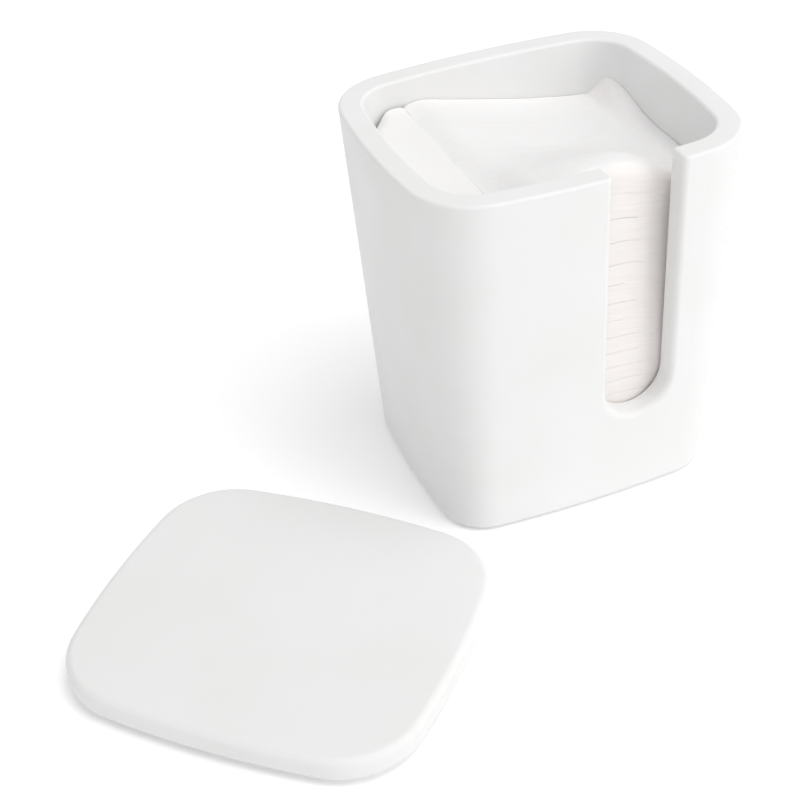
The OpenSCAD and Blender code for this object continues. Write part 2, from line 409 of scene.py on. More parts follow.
class NodeBench:
    """Adds and links the nodes of one material, world or node group."""

    # Numbers of the sockets of a colour mix
    MIX_SHARE, MIX_FIRST, MIX_SECOND, MIX_RESULT = 0, 6, 7, 2

    def __init__(self, tree: bpy.types.NodeTree) -> None:
        """Empty a node tree and start from it."""
        self.tree = tree
        tree.nodes.clear()

    def join(self, value: object, socket: bpy.types.NodeSocket) -> None:
        """Link an output socket to an input socket, or set a constant on it.

        Args:
            value: Output socket, number or colour.
            socket: Input socket.
        """
        if isinstance(value, bpy.types.NodeSocket):
            self.tree.links.new(value, socket)
        else:
            socket.default_value = value

    def add(
        self, kind: str, inputs: dict[str | int, object] | None = None, **settings: object
    ) -> bpy.types.Node:
        """Add a node.

        Args:
            kind: Node type.
            inputs: Constants or output sockets, by the name or number of the input.
            settings: Properties of the node.

        Returns:
            The new node.
        """
        node = self.tree.nodes.new(kind)
        for name, value in settings.items():
            setattr(node, name, value)
        for key, value in (inputs or {}).items():
            self.join(value, node.inputs[key])
        return node

    def mix_colour(self, share: object, first: object, second: object) -> bpy.types.NodeSocket:
        """Return a mix of two colours, each a constant or a socket."""
        inputs = {self.MIX_SHARE: share, self.MIX_FIRST: first, self.MIX_SECOND: second}
        return self.add("ShaderNodeMix", inputs, data_type="RGBA").outputs[self.MIX_RESULT]

    def mapped(self, value: bpy.types.NodeSocket, source: Pair, target: Pair) -> bpy.types.NodeSocket:
        """Map a value from one span to another, and hold it within the new one.

        Args:
            value: Value to map.
            source: Ends of the span that it comes from.
            target: Ends of the span that it goes to.

        Returns:
            The mapped value.
        """
        node = self.add("ShaderNodeMapRange", {
            "Value": value,
            "From Min": source[0],
            "From Max": source[1],
            "To Min": target[0],
            "To Max": target[1],
        })
        return node.outputs["Result"]

    def work_out(self, way: Arithmetic, first: object, second: object) -> bpy.types.NodeSocket:
        """Return one value worked out from two, each a number or a socket."""
        return self.add("ShaderNodeMath", {0: first, 1: second}, operation=way.value).outputs[0]

    def blend(
        self, first: bpy.types.NodeSocket, second: bpy.types.NodeSocket, share: float
    ) -> bpy.types.NodeSocket:
        """Add a share of one value to the rest of another.

        Args:
            first: Value that has the share.
            second: Value that has the rest.
            share: Share of the first value.

        Returns:
            The sum.
        """
        part = self.work_out(Arithmetic.MULTIPLY, first, share)
        rest = self.work_out(Arithmetic.MULTIPLY, second, 1 - share)
        return self.work_out(Arithmetic.ADD, part, rest)

    def surface(self, height: bpy.types.NodeSocket, relief: Pair, inputs: dict[str, object]) -> None:
        """Add the shader of a material, with a fine relief, and the output.

        Args:
            height: Height of the relief.
            relief: Strength of the relief and its depth in metres.
            inputs: Other inputs of the shader.
        """
        strength, depth = relief
        bump = self.add("ShaderNodeBump", {"Height": height, "Strength": strength, "Distance": depth})
        shader = self.add("ShaderNodeBsdfPrincipled", {**inputs, "Normal": bump.outputs["Normal"]})
        self.add("ShaderNodeOutputMaterial", {"Surface": shader.outputs["BSDF"]})


def blank_material(name: str) -> tuple[bpy.types.Material, NodeBench]:
    """Make a material with no nodes.

    Args:
        name: Name of the material.

    Returns:
        The material, and a bench for its nodes.
    """
    material = bpy.data.materials.new(name)
    material.use_nodes = True
    return material, NodeBench(material.node_tree)


@dataclass(frozen=True)
class FineGrain:
    """Fine grain of a moulded surface as a node group: specks, pores and a slow cloudiness.

    Attributes:
        pores: Number of pores to one grain, along a line.
        speck_band: Values of the grain between which a speck rises.
        speck_pores: Distances from the middle of a pore between which a speck fades.
        speck_rest: Share of a speck that stays far from a pore.
        pit_band: Distances from the middle of a pore between which its pit rises to the surface.
        grain_share: Share of the height that the grain makes. The pits make the rest.
    """

    pores: float = 0.45
    speck_band: Pair = (0.56, 0.72)
    speck_pores: Pair = (0.1, 0.5)
    speck_rest: float = 0.2
    pit_band: Pair = (0.0, 0.16)
    grain_share: float = 0.6

    def group(self) -> bpy.types.NodeTree:
        """Build the node group, or find it when it is there.

        Returns:
            The group, with its scales as inputs and its masks and height as outputs.
        """
        name = "fine_grain"
        if name in bpy.data.node_groups:
            return bpy.data.node_groups[name]
        group = bpy.data.node_groups.new(name, "ShaderNodeTree")
        for scale in ("Grain Scale", "Cloud Scale"):
            group.interface.new_socket(scale, in_out="INPUT", socket_type="NodeSocketFloat")
        for output in ("Specks", "Cloud", "Height"):
            group.interface.new_socket(output, in_out="OUTPUT", socket_type="NodeSocketFloat")
        bench = NodeBench(group)
        entry = bench.add("NodeGroupInput").outputs
        place = bench.add("ShaderNodeTexCoord").outputs["Object"]
        grain = bench.add("ShaderNodeTexNoise", {
            "Vector": place, "Scale": entry["Grain Scale"], "Detail": 4.0, "Roughness": 0.6
        }).outputs["Fac"]
        pore_scale = bench.work_out(Arithmetic.MULTIPLY, entry["Grain Scale"], self.pores)
        pores = bench.add("ShaderNodeTexVoronoi", {"Vector": place, "Scale": pore_scale}, feature="F1")
        away = pores.outputs["Distance"]
        cloud = bench.add("ShaderNodeTexNoise", {
            "Vector": place, "Scale": entry["Cloud Scale"], "Detail": 3.0, "Roughness": 0.5
        }).outputs["Fac"]
        rise = bench.mapped(grain, self.speck_band, RISING)
        fade = bench.mapped(away, self.speck_pores, (1.0, self.speck_rest))
        pits = bench.mapped(away, self.pit_band, RISING)
        bench.add("NodeGroupOutput", {
            "Specks": bench.work_out(Arithmetic.MULTIPLY, rise, fade),
            "Cloud": cloud,
            "Height": bench.blend(grain, pits, self.grain_share),
        })
        return group

    def place(
        self, bench: NodeBench, grain_scale: float, cloud_scale: float
    ) -> dict[str, bpy.types.NodeSocket]:
        """Place the group in a material.

        Args:
            bench: Bench of the material.
            grain_scale: Number of grains in a metre.
            cloud_scale: Number of clouds in a metre.

        Returns:
            The outputs of the group, by name.
        """
        inputs = {"Grain Scale": grain_scale, "Cloud Scale": cloud_scale}
        node = bench.add("ShaderNodeGroup", inputs, node_tree=self.group())
        return {socket.name: socket for socket in node.outputs}


@dataclass(frozen=True)
class CastResin:
    """Matt white cast resin with a fine mineral grain.

    Attributes:
        colour: Colour of the resin.
        speck: Colour of the mineral specks.
        cloud: Colour of the slow cloudiness.
        grain_scale: Number of grains in a metre.
        cloud_scale: Number of clouds in a metre.
        cloud_band: Values between which a cloud shows.
        speck_share: How strongly the specks show.
        relief: Strength of the relief and its depth in metres.
        roughness: Lowest and highest roughness.
        shine: Strength of the shine.
    """

    colour: Colour = (0.838, 0.838, 0.838, 1.0)
    speck: Colour = (0.79, 0.785, 0.775, 1.0)
    cloud: Colour = (0.826, 0.824, 0.818, 1.0)
    grain_scale: float = 2600.0
    cloud_scale: float = 38.0
    cloud_band: Pair = (0.4, 0.65)
    speck_share: float = 0.5
    relief: Pair = (0.12, 0.0001)
    roughness: Pair = (0.46, 0.6)
    shine: float = 0.35

    def material(self) -> bpy.types.Material:
        """Make the material.

        Returns:
            The material.
        """
        material, bench = blank_material("cast_resin_matt")
        grain = FineGrain().place(bench, self.grain_scale, self.cloud_scale)
        clouds = bench.mapped(grain["Cloud"], self.cloud_band, RISING)
        specks = bench.work_out(Arithmetic.MULTIPLY, grain["Specks"], self.speck_share)
        clouded = bench.mix_colour(clouds, self.colour, self.cloud)
        bench.surface(grain["Height"], self.relief, {
            "Base Color": bench.mix_colour(specks, clouded, self.speck),
            "Roughness": bench.mapped(grain["Cloud"], NOISE_CORE, self.roughness),
            "Specular IOR Level": self.shine,
        })
        return material


@dataclass(frozen=True)
class PoredFoam:
    """Foam with fine pores in its skin, whose low pits are painted darker as painted shade.

    Attributes:
        name: Name of the material.
        colour: Colour of the skin.
        pore: Colour of the low pits of the relief, a painted shade.
        grain_scale: Number of grains in a metre.
        cloud_scale: Number of clouds in a metre.
        pore_band: Heights between which the painted shade of a pit fades out.
        pore_share: How strongly the painted shade in the pits shows.
        relief: Strength of the relief and its depth in metres.
        roughness: Lowest and highest roughness.
        shine: Strength of the shine.
    """

    name: str
    colour: Colour
    pore: Colour
    grain_scale: float
    cloud_scale: float
    pore_band: Pair
    pore_share: float
    relief: Pair
    roughness: Pair
    shine: float

    def material(self) -> bpy.types.Material:
        """Make the material.

        Returns:
            The material.
        """
        material, bench = blank_material(self.name)
        grain = FineGrain().place(bench, self.grain_scale, self.cloud_scale)
        # Painted shade: where the relief is low, the pits take the darker pore colour.
        pores = bench.mapped(grain["Height"], self.pore_band, (self.pore_share, 0.0))
        bench.surface(grain["Height"], self.relief, {
            "Base Color": bench.mix_colour(pores, self.colour, self.pore),
            "Roughness": bench.mapped(grain["Cloud"], NOISE_SPREAD, self.roughness),
            "Specular IOR Level": self.shine,
        })
        return material


@dataclass(frozen=True)
class FoamSheet(PoredFoam):
    """Grey closed-cell foam with fine pits."""

    name: str = "foam_sheet_grey"
    colour: Colour = (0.56, 0.56, 0.55, 1.0)
    # Darker colour painted into the pits as shade.
    pore: Colour = (0.38, 0.38, 0.375, 1.0)
    grain_scale: float = 1900.0
    cloud_scale: float = 60.0
    pore_band: Pair = (0.2, 0.7)
    pore_share: float = 1.0
    relief: Pair = (0.6, 0.0002)
    roughness: Pair = (0.8, 0.95)
    shine: float = 0.25


@dataclass(frozen=True)
class LatexFoam(PoredFoam):
    """Off-white latex foam with very fine open pores."""

    name: str = "latex_foam"
    colour: Colour = (0.9, 0.894, 0.88, 1.0)
    # Darker colour painted into the pits as shade.
    pore: Colour = (0.868, 0.86, 0.842, 1.0)
    grain_scale: float = 3600.0
    cloud_scale: float = 90.0
    pore_band: Pair = (0.25, 0.6)
    pore_share: float = 0.6
    relief: Pair = (0.3, 0.0002)
    roughness: Pair = (0.85, 0.98)
    shine: float = 0.15


@dataclass(frozen=True)
class CardedCotton:
    """White carded cotton, with warm painted shade on its cut edges. Its fibres run left to right and sink
    with the stack.

    Attributes:
        face: Colour of the fibres on the faces of a pad.
        face_shade: Colour between the fibres there.
        edge: Colour of the fibres at the cut edges. It and the next colour are painted shade, darker and
            warmer than the faces.
        edge_shade: Colour between the fibres there, also painted shade.
        painted_shade_band: Upward parts of the normal between which a cut edge becomes a face.
        streak: Length, width and height of a streak of fibres, in metres.
        sink: Turn of the fibres down to the right, in degrees.
        streak_share: Share of the relief that the streaks make. The tufts make the rest.
        tuft_scale: Number of small tufts in a metre.
        relief: Strength of the relief and its depth in metres.
        roughness: Lowest and highest roughness.
        shine: Strength of the shine.
        sheen: Weight and roughness of the sheen.
    """

    face: Colour = (0.882, 0.876, 0.874, 1.0)
    face_shade: Colour = (0.866, 0.856, 0.852, 1.0)
    edge: Colour = (0.885, 0.852, 0.836, 1.0)
    edge_shade: Colour = (0.85, 0.808, 0.786, 1.0)
    painted_shade_band: Pair = (0.5, 0.95)
    streak: Triple = (0.03, 0.0016, 0.0006)
    sink: float = 14.0
    streak_share: float = 0.7
    tuft_scale: float = 260.0
    relief: Pair = (0.3, 0.0003)
    roughness: Pair = (0.9, 1.0)
    shine: float = 0.1
    sheen: Pair = (0.1, 0.6)

    def material(self) -> bpy.types.Material:
        """Make the material.

        Returns:
            The material.
        """
        material, bench = blank_material("carded_cotton")
        spot = bench.add("ShaderNodeTexCoord").outputs
        drawn = bench.add("ShaderNodeMapping", {
            "Vector": spot["Object"], "Rotation": (0.0, math.radians(self.sink), 0.0), "Scale": self.streak
        }, vector_type="TEXTURE").outputs["Vector"]
        streaks = bench.add("ShaderNodeTexNoise", {
            "Vector": drawn, "Scale": 1.0, "Detail": 6.0, "Roughness": 0.6, "Distortion": 0.25
        }).outputs["Fac"]
        tufts = bench.add("ShaderNodeTexNoise", {
            "Vector": spot["Object"], "Scale": self.tuft_scale, "Detail": 4.0, "Roughness": 0.6
        }).outputs["Fac"]
        upward = bench.add("ShaderNodeSeparateXYZ", {"Vector": spot["Normal"]}).outputs["Z"]
        between_fibres = bench.mapped(streaks, NOISE_CORE, FALLING)
        face = bench.mix_colour(between_fibres, self.face, self.face_shade)
        # Painted shade: faces whose normal turns sideways take these darker, warmer edge colours in place of
        # the face colours.
        edge = bench.mix_colour(between_fibres, self.edge, self.edge_shade)
        weight, spread = self.sheen
        bench.surface(bench.blend(streaks, tufts, self.streak_share), self.relief, {
            "Base Color": bench.mix_colour(bench.mapped(upward, self.painted_shade_band, RISING), edge, face),
            "Roughness": bench.mapped(tufts, NOISE_SPREAD, self.roughness),
            "Specular IOR Level": self.shine,
            "Sheen Weight": weight,
            "Sheen Roughness": spread,
        })
        return material


@dataclass
class CastBox:
    """The cast box: leaning bowed walls, rim, floor and slot.

    Attributes:
        rim: Outline at the rim.
        base: Outline at the underside.
        height: Height from the underside to the rim.
        lift: Height of the underside above the table.
        wall: Thickness of the walls.
        floor: Thickness of the floor.
        floor_round: Rounding between the walls and the floor.
        base_round: Rounding of the outside edge of the base.
        edge_round: Rounding of the rim and of the inside edge of the slot.
        recess: Depth of the recess under the base.
        border: Width of the bare border round the recess.
        slot_middle: Place of the middle of the slot at the rim.
        slot_width: Width of the slot.
        slot_bottom: Height of the lowest point of the slot.
        slot_lean: How far the slot leans to the left from its lowest point to the rim.
        slot_round: Rounding of the outside edge of the slot.
        slot_margin: Width of the band of faces round the slot.
        columns: Columns of points at the left of the slot's band, and over it.
        levels: Rows of points below the slot's band, beside the round end of the slot, and above that.
        hard_angle: Angle above which an edge counts as a hard one, in degrees.
    """

    rim: BowedPlan = RIM_PLAN
    base: BowedPlan = BASE_PLAN
    height: float = 97.6
    lift: float = 0.6
    wall: float = 6.1
    floor: float = 5.4
    floor_round: float = 1.0
    base_round: float = 1.3
    edge_round: float = 0.8
    recess: float = 0.8
    border: float = 4.0
    slot_middle: float = 10.05
    slot_width: float = 18.3
    slot_bottom: float = 25.8
    slot_lean: float = 2.0
    slot_round: float = 1.6
    slot_margin: float = 3.6
    columns: tuple[int, int] = (9, 11)
    levels: tuple[int, int, int] = (6, 5, 16)
    hard_angle: float = 40.0

    @property
    def slot_half(self) -> float:
        """Half of the width of the slot."""
        return self.slot_width / 2

    @property
    def slot_centre(self) -> float:
        """Height of the centre of the round end of the slot."""
        return self.slot_bottom + self.slot_half

    @property
    def notch(self) -> tuple[float, float, float]:
        """Left, right and lower edge of the notch that is cut before the slot is shaped."""
        reach = self.slot_half + self.slot_margin
        return self.slot_middle - reach, self.slot_middle + reach, self.slot_centre - reach

    def plan(self, z: float) -> BowedPlan:
        """Find the outline of the body at a height.

        Args:
            z: Height above the underside.

        Returns:
            The outline there.
        """
        share = z / self.height
        return BowedPlan(
            between(self.base.width, self.rim.width, share),
            between(self.base.depth, self.rim.depth, share),
            between(self.base.corner, self.rim.corner, share),
            between(self.base.bow, self.rim.bow, share),
        )

    def stations(self) -> Stations:
        """Lay out the steps along the outline, with fixed columns where the slot is cut.

        Returns:
            The steps.
        """
        left, right, _ = self.notch
        beside, over = self.columns
        columns = [*np.linspace(-right, left, beside)[:-1], *np.linspace(left, right, over)]
        return Stations(front=0, side=14, back=16, corner=14, columns=tuple(columns))

    def rows(self) -> list[tuple[float, float]]:
        """Lay out the rings, from the recess up the outside and down the inside.

        Returns:
            Height and inset of every ring.
        """
        _, _, low = self.notch
        below, beside, above = self.levels
        upper = [
            *np.linspace(low, self.slot_centre, beside),
            *np.linspace(self.slot_centre, self.height - 3 * self.edge_round, above)[1:],
            self.height,
        ]
        lower = list(np.linspace(self.base_round, low, below)[1:-1])
        corner = quarter_round(self.floor_round, steps=4)
        fillet = [(self.floor + inset, self.wall + rise) for rise, inset in corner]
        inner = [z for z in reversed(lower) if z > self.floor + 2 * self.floor_round]
        return [
            (self.recess, self.border),
            (0.0, self.border),
            *quarter_round(self.base_round, steps=5),
            *[(z, 0.0) for z in lower + upper],
            *[(z, self.wall) for z in reversed(upper)],
            *[(z, self.wall) for z in inner],
            *fillet,
        ]

    def front_y(self, x: float, z: float, inset: float) -> float:
        """Return the place of the front wall at x and a height, drawn in by inset."""
        return self.plan(z).front_y(x, inset)

    def leaned(self, z: float) -> float:
        """Return how far the slot lies at a height to the right of its place at the rim."""
        return self.slot_lean * (self.height - z) / (self.height - self.slot_bottom)

    def is_outside(self, x: float, y: float, z: float) -> bool:
        """Tell whether a point of the front wall lies on its outside."""
        return y < self.front_y(x, z, self.wall / 2)

    def on_slot(self, x: float, z: float) -> tuple[float, float]:
        """Return the place on the slot's outline that belongs to a place on the notch's outline.

        Args:
            x: Place across the front.
            z: Height above the underside.

        Returns:
            Place across the front and height on the slot's outline.
        """
        left, right, low = self.notch
        if z > self.slot_centre - NEAR:
            side = -1 if x < self.slot_middle else 1
            return self.slot_middle + side * self.slot_half + self.leaned(z), z
        if abs(x - left) < NEAR:
            angle = 180 + 45 * (self.slot_centre - z) / (self.slot_centre - low)
        elif abs(x - right) < NEAR:
            angle = 360 - 45 * (self.slot_centre - z) / (self.slot_centre - low)
        else:
            angle = 225 + 90 * (x - left) / (right - left)
        turn = math.radians(angle)
        z = self.slot_centre + self.slot_half * math.sin(turn)
        return self.slot_middle + self.slot_half * math.cos(turn) + self.leaned(z), z

    def local(self, vert: bmesh.types.BMVert) -> tuple[float, float, float]:
        """Return the place of a point in millimetres, with its height above the underside."""
        return vert.co.x / MM, vert.co.y / MM, vert.co.z / MM - self.lift

    def cut_slot(self, piece: bpy.types.Object) -> None:
        """Cut the slot through the front wall: delete a notch, shape its edge and join outside to inside.

        Args:
            piece: Box in edit mode.
        """
        left, right, low = self.notch
        bpy.ops.mesh.select_mode(type="FACE")
        bpy.ops.mesh.select_all(action="DESELECT")
        mesh = bmesh.from_edit_mesh(piece.data)
        for face in mesh.faces:
            middle = face.calc_center_median()
            x, y, z = middle.x / MM, middle.y / MM, middle.z / MM - self.lift
            face.select_set(y < -self.rim.depth / 4 and left < x < right and z > low)
        bmesh.update_edit_mesh(piece.data)
        bpy.ops.mesh.delete(type="FACE")
        select_rim_of_hole()
        bpy.ops.mesh.extrude_region_move()
        mesh = bmesh.from_edit_mesh(piece.data)
        for vert in [vert for vert in mesh.verts if vert.select]:
            x, y, z = self.local(vert)
            inset = 0.0 if self.is_outside(x, y, z) else self.wall
            x, z = self.on_slot(x, z)
            vert.co = Vector((x, self.front_y(x, z, inset), z + self.lift)) * MM
        bmesh.update_edit_mesh(piece.data)
        select_edges(piece, self.runs_along_wall)
        bpy.ops.mesh.bridge_edge_loops()
        bpy.ops.mesh.select_all(action="SELECT")
        bpy.ops.mesh.normals_make_consistent(inside=False)

    def runs_along_wall(self, edge: bmesh.types.BMEdge) -> bool:
        """Tell whether an open edge lies inside or outside on the wall, and not across the rim."""
        first, second = (self.is_outside(*self.local(vert)) for vert in edge.verts)
        return edge.is_boundary and first == second

    def is_outside_of_slot(self, edge: bmesh.types.BMEdge) -> bool:
        """Tell whether an edge is the outside edge of the slot, below the rim.

        Args:
            edge: Edge of the box.

        Returns:
            True for such an edge.
        """
        ends = [self.local(vert) for vert in edge.verts]
        reach = self.slot_half + self.slot_lean + MARGIN
        beside = all(abs(x - self.slot_middle) < reach for x, _, _ in ends)
        outside = all(abs(y - self.front_y(x, z, 0.0)) < NEAR for x, y, z in ends)
        below = min(z for _, _, z in ends) < self.height - MARGIN
        return beside and outside and below and self.is_hard_edge(edge)

    def is_hard_edge(self, edge: bmesh.types.BMEdge) -> bool:
        """Tell whether an edge is a sharp one of the rim or the slot."""
        above = all(self.local(vert)[2] > self.floor + self.base_round * 2 for vert in edge.verts)
        return above and edge.is_manifold and edge.calc_face_angle(0.0) > math.radians(self.hard_angle)

    def round_edges(self, piece: bpy.types.Object) -> None:
        """Round the outside edge of the slot, then the other edges of rim and slot.

        Args:
            piece: Box in edit mode.
        """
        select_edges(piece, self.is_outside_of_slot)
        bpy.ops.mesh.bevel(offset=self.slot_round * MM, segments=7, profile=0.5, affect="EDGES")
        select_edges(piece, self.is_hard_edge)
        bpy.ops.mesh.bevel(offset=self.edge_round * MM, segments=4, profile=0.5, affect="EDGES")

    def build(self, finish: bpy.types.Material) -> bpy.types.Object:
        """Build and dress the box.

        Args:
            finish: Material of the box.

        Returns:
            The finished piece.
        """
        stations = self.stations()
        rings = [at_height(self.plan(z).ring(inset, stations), z + self.lift) for z, inset in self.rows()]
        piece = loft("cast_box", rings)
        self.cut_slot(piece)
        self.round_edges(piece)
        finish_mesh(piece, crease=35)
        register(piece, Body.BOX.value, RecordSlot.CAST_RESIN, "box_body", finish)
        return piece


@dataclass
class LooseLid:
    """The flat lid with its locating step, lying on the table.

    Attributes:
        plan: Outline of the rim that it covers.
        overhang: How far the plate stands out past the rim.
        thick: Thickness of the plate.
        top_round: Rounding of the upper edge of the plate.
        low_round: Rounding of the lower edge of the plate.
        step_height: Height of the locating step.
        step_inset: How far the step lies inside the rim's outline.
        step_round: Rounding of the lower edge of the step.
        turn: Turn about the vertical, in degrees.
        flat_rows: Distances from the upper rounding to the rings of points on the flat top.
    """

    plan: BowedPlan = RIM_PLAN
    overhang: float = 2.5
    thick: float = 5.8
    top_round: float = 2.0
    low_round: float = 0.8
    step_height: float = 2.0
    step_inset: float = 6.9
    step_round: float = 0.6
    turn: float = -43.7
    flat_rows: Pair = (2.0, 12.0)

    def rows(self) -> list[tuple[float, float]]:
        """Lay out the rings, from the underside of the step to the top.

        Returns:
            Height and inset of every ring.
        """
        top = self.step_height + self.thick
        lower = quarter_round(self.low_round, steps=4)
        upper = quarter_round(self.top_round, steps=7)
        return [
            (0.0, self.step_inset + 4 * self.step_round),
            *[(rise, self.step_inset + inset) for rise, inset in quarter_round(self.step_round, steps=4)],
            (self.step_height, self.step_inset),
            (self.step_height, 2 * self.low_round - self.overhang),
            *[(self.step_height + rise, inset - self.overhang) for rise, inset in lower],
            (self.step_height + self.thick / 2, -self.overhang),
            *[(top - inset, rise - self.overhang) for rise, inset in upper],
            *[(top, self.top_round - self.overhang + away) for away in self.flat_rows],
        ]

    def build(self, finish: bpy.types.Material) -> bpy.types.Object:
        """Build and dress the lid.

        Args:
            finish: Material of the lid.

        Returns:
            The finished piece.
        """
        low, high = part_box("lid")
        middle = np.array([(low.x + high.x) / 2, (low.y + high.y) / 2]) / MM
        turn = math.radians(self.turn)
        turned = np.array([[math.cos(turn), math.sin(turn)], [-math.sin(turn), math.cos(turn)]])
        stations = Stations(front=18, side=18, back=18, corner=14)
        rings = [at_height(self.plan.ring(inset, stations) @ turned + middle, z) for z, inset in self.rows()]
        piece = loft("loose_lid", rings)
        finish_mesh(piece, crease=50)
        register(piece, Body.LID.value, RecordSlot.CAST_RESIN, "lid", finish)
        return piece


@dataclass
class NonSlipSheet:
    """The foam sheet bonded into the recess under the box.

    Attributes:
        plan: Outline of the underside of the box.
        inset: How far the sheet lies inside it.
        thick: Thickness of the sheet.
        edge: Rounding of its edges.
    """

    plan: BowedPlan = BASE_PLAN
    inset: float = 4.3
    thick: float = 1.4
    edge: float = 0.25

    def build(self, finish: bpy.types.Material) -> bpy.types.Object:
        """Build and dress the sheet.

        Args:
            finish: Material of the sheet.

        Returns:
            The finished piece.
        """
        stations = Stations(front=12, side=12, back=12, corner=10)
        rounding = quarter_round(self.edge, steps=3)
        rows = rounding + [(self.thick - rise, inset) for rise, inset in reversed(rounding)]
        rings = [at_height(self.plan.ring(self.inset + inset, stations), z) for z, inset in rows]
        piece = loft("non_slip_sheet", rings)
        finish_mesh(piece, crease=50)
        register(piece, Body.BOX.value, RecordSlot.FOAM_SHEET, "base_pad", finish)
        return piece


@dataclass(frozen=True)
class Ripple:
    """Smooth random unevenness of a soft surface.

    Attributes:
        height: Most that it rises or falls.
        across: Length of a ripple in the first direction.
        along: Length of a ripple in the second direction.
        shift: How far the pattern shifts for each step in the third direction.
    """

    height: float
    across: float
    along: float
    shift: float

    def at(self, first: float, second: float, third: float = 1.0) -> float:
        """Return the rise at a place."""
        spot = Vector((first / self.across, second / self.along, third * self.shift))
        return self.height * noise.noise(spot)


@dataclass
class MakeupSponge:
    """The flat sponge that stands on edge at the left of the pads, soft at its left back corner.

    Attributes:
        foot: Thickness at the foot.
        thick: Thickness at the top.
        foot_ends: Places of the front and the back end at the foot.
        ends: Places of the front and the back end at the top.
        back_round: Shares of the thickness and of the depth that the rounding of the left back corner takes.
        front_round: The same for the left front corner.
        right_round: Radius of both right corners.
        edge: Rounding of the upper and lower edges.
        shoulder: How far the top falls to its edge at the left back corner.
        shoulder_along: Places from front to back between which this fall grows.
        shoulder_across: Places across, from the right face, between which it grows.
        shoulder_power: Power that keeps this fall near the edge.
        shoulder_rise: Shares of the height between which it sets in.
        dent: Small dents in the soft sides.
        sag: Unevenness of the top from front to back.
        sag_track: Track across its pattern that the unevenness follows.
        points: Points round each corner, along the right face and along the left face.
        levels: Rings of points between the foot and the top.
        foot_rings: Shares of the way from the middle to the edge at which the underside has rings of points.
        top_rings: The same for the top.
    """

    foot: float = 6.8
    thick: float = 11.8
    foot_ends: Pair = (-21.4, 21.4)
    ends: Pair = (-23.8, 29.6)
    back_round: Pair = (0.88, 0.2)
    front_round: Pair = (0.6, 0.16)
    right_round: float = 1.2
    edge: float = 0.15
    shoulder: float = 3.0
    shoulder_along: Pair = (10.0, 23.0)
    shoulder_across: Pair = (-4.0, -8.5)
    shoulder_power: int = 9
    shoulder_rise: Pair = (0.97, 0.99)
    dent: Ripple = Ripple(0.2, 6.0, 9.0, 1 / 9)
    sag: Ripple = Ripple(0.2, 8.0, 1.0, 1 / 30)
    sag_track: float = 4.3
    points: tuple[int, int, int] = (15, 40, 16)
    levels: int = 24
    foot_rings: tuple[float, ...] = (0.1, 0.4, 0.7, 0.9)
    top_rings: tuple[float, ...] = (0.97, 0.93, 0.88, 0.82, 0.75, 0.55, 0.35, 0.1)

    def outline(self, share: float, inset: float) -> np.ndarray:
        """Return the outline at a share of the height, anticlockwise, with the right face at zero.

        Args:
            share: Share of the way from the foot to the top.
            inset: How far the outline is drawn in.

        Returns:
            Points of the outline, one row each.
        """
        thick = between(self.foot, self.thick, share)
        front, back = (between(low, high, share) for low, high in zip(self.foot_ends, self.ends))
        depth = back - front
        turn_points, right_points, left_points = self.points

        def corner(x: float, y: float, rx: float, ry: float, start: float) -> np.ndarray:
            """Return a quarter of an ellipse round a centre, from an angle in degrees."""
            angles = np.radians(np.linspace(start, start + 90, turn_points))
            return np.column_stack([x + (rx - inset) * np.cos(angles), y + (ry - inset) * np.sin(angles)])

        right = self.right_round
        back_x, back_y = self.back_round[0] * thick, self.back_round[1] * depth
        front_x, front_y = self.front_round[0] * thick, self.front_round[1] * depth
        upright = np.linspace(front + right, back - right, right_points)[1:-1]
        far_left = np.linspace(back - back_y, front + front_y, left_points)[1:-1]
        return np.vstack([
            corner(front_x - thick, front + front_y, front_x, front_y, 180),
            corner(-right, front + right, right, right, 270),
            np.column_stack([np.full(len(upright), -inset), upright]),
            corner(-right, back - right, right, right, 0),
            corner(back_x - thick, back - back_y, back_x, back_y, 90),
            np.column_stack([np.full(len(far_left), inset - thick), far_left]),
        ])

    def fall(self, x: float, y: float) -> float:
        """Return how far the edge of the top falls at a place, seen from the right face."""
        return self.shoulder * smooth_step(*self.shoulder_along, y) * smooth_step(*self.shoulder_across, x)

    def rings(self) -> list[np.ndarray]:
        """Lay out the rings of points from the middle of the underside to the middle of the top.

        Returns:
            Rings in millimetres.
        """
        low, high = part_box("makeup_sponge")
        right, bottom, height = high.x / MM, low.z / MM, (high.z - low.z) / MM
        rounding = quarter_round(self.edge, steps=6)
        rows = [(0.0, self.edge, size) for size in self.foot_rings]
        rows += [(rise, inset, 1.0) for rise, inset in rounding]
        rows += [(z, 0.0, 1.0) for z in np.linspace(self.edge, height - self.edge, self.levels)[1:-1]]
        rows += [(height - rise, inset, 1.0) for rise, inset in reversed(rounding)]
        rows += [(height, self.edge, size) for size in self.top_rings]
        return [self.ring(z / height, inset, size, height) + (right, 0.0, bottom) for z, inset, size in rows]

    def ring(self, share: float, inset: float, size: float, height: float) -> np.ndarray:
        """Return one ring of points, with the right face and the underside at zero.

        Args:
            share: Share of the way from the foot to the top.
            inset: How far the ring is drawn in.
            size: Share of the way from the middle to the edge.
            height: Height of the sponge.

        Returns:
            Points in millimetres.
        """
        outline = self.outline(share, inset)
        middle = (outline.min(axis=0) + outline.max(axis=0)) / 2
        z = share * height
        points = []
        for x, y in (outline - middle) * size:
            give = (self.dent.at(x, y, z) - self.dent.height) / 2
            fade = 1 + give / max(math.hypot(x, y), self.foot / 2) * smooth_step(0.0, -self.foot / 2, x)
            sag = share * (self.sag.at(y, self.sag_track, z) - self.sag.height)
            fall = self.fall(middle[0] + x, middle[1] + y) * smooth_step(*self.shoulder_rise, share)
            drop = fall * size ** self.shoulder_power
            points.append((middle[0] + x * fade, middle[1] + y * fade, z + sag - drop))
        return np.array(points)

